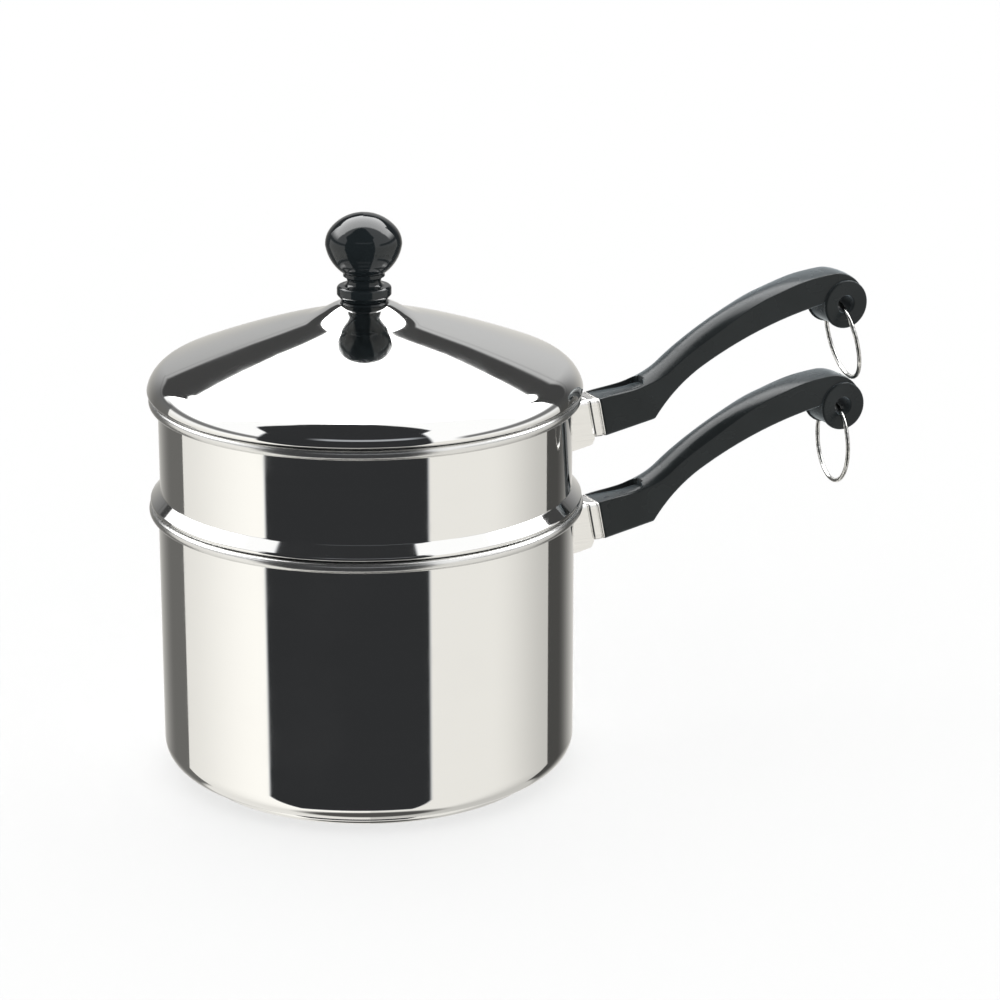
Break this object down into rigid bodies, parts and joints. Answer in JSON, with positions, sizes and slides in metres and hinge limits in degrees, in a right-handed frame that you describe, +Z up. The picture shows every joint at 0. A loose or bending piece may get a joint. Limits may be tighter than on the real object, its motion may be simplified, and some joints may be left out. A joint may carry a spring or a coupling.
{
  "type": "double boiler",
  "caption": "Stovetop double boiler: a saucepan holding simmering water, an insert pan nested in its rim, and a domed lid with a ball knob; each pan has a long handle with a hanging ring.",
  "frame": {"origin": "centre of the flat underside of the lower saucepan's base", "axes": "+Z up along the common axis of the pans, the lid and the knob; +X out along both handles; Y along the axes that the hanging rings swing about"},
  "size_m": [0.3033, 0.167, 0.2202],
  "materials": {
    "polished_steel": "mirror-polished stainless steel",
    "drawn_steel": "bright stainless steel sheet, bent and welded",
    "ring_wire": "bright drawn stainless wire",
    "black_phenolic": "glossy black moulded phenolic",
    "heat_core": "plain aluminium disc",
    "threaded_brass": "turned brass",
    "screw_steel": "bright screw steel"
  },
  "bodies": {
    "lower_pot": {"lower_pot_shell": "polished_steel", "base_core": "heat_core", "base_cap": "polished_steel", "lower_handle_bracket": "drawn_steel", "lower_handle_tang": "screw_steel", "lower_handle_collar": "drawn_steel", "lower_handle": "black_phenolic", "lower_handle_screw": "screw_steel"},
    "insert_pan": {"insert_shell": "polished_steel", "upper_handle_bracket": "drawn_steel", "upper_handle_tang": "screw_steel", "upper_handle_collar": "drawn_steel", "upper_handle": "black_phenolic", "upper_handle_screw": "screw_steel"},
    "lid": {"lid_shell": "polished_steel", "lid_knob": "black_phenolic", "knob_insert": "threaded_brass", "knob_washer": "screw_steel", "knob_screw": "screw_steel"},
    "lower_ring": {"lower_hang_ring": "ring_wire"},
    "upper_ring": {"upper_hang_ring": "ring_wire"}
  },
  "joints": [
    {"name": "insert_lift", "type": "slide", "parent": "lower_pot", "child": "insert_pan", "axis": [0, 0, 1], "range_m": [0, 0.1]},
    {"name": "lid_lift", "type": "slide", "parent": "insert_pan", "child": "lid", "axis": [0, 0, 1], "range_m": [0, 0.06]},
    {"name": "lower_ring_swing", "type": "hinge", "parent": "lower_pot", "child": "lower_ring", "pos_m": [0.2099, 0, 0.1201], "axis": [0, -1, 0], "range_deg": [-75, 110]},
    {"name": "upper_ring_swing", "type": "hinge", "parent": "insert_pan", "child": "upper_ring", "pos_m": [0.2099, 0, 0.1628], "axis": [0, -1, 0], "range_deg": [0, 225]}
  ]
}
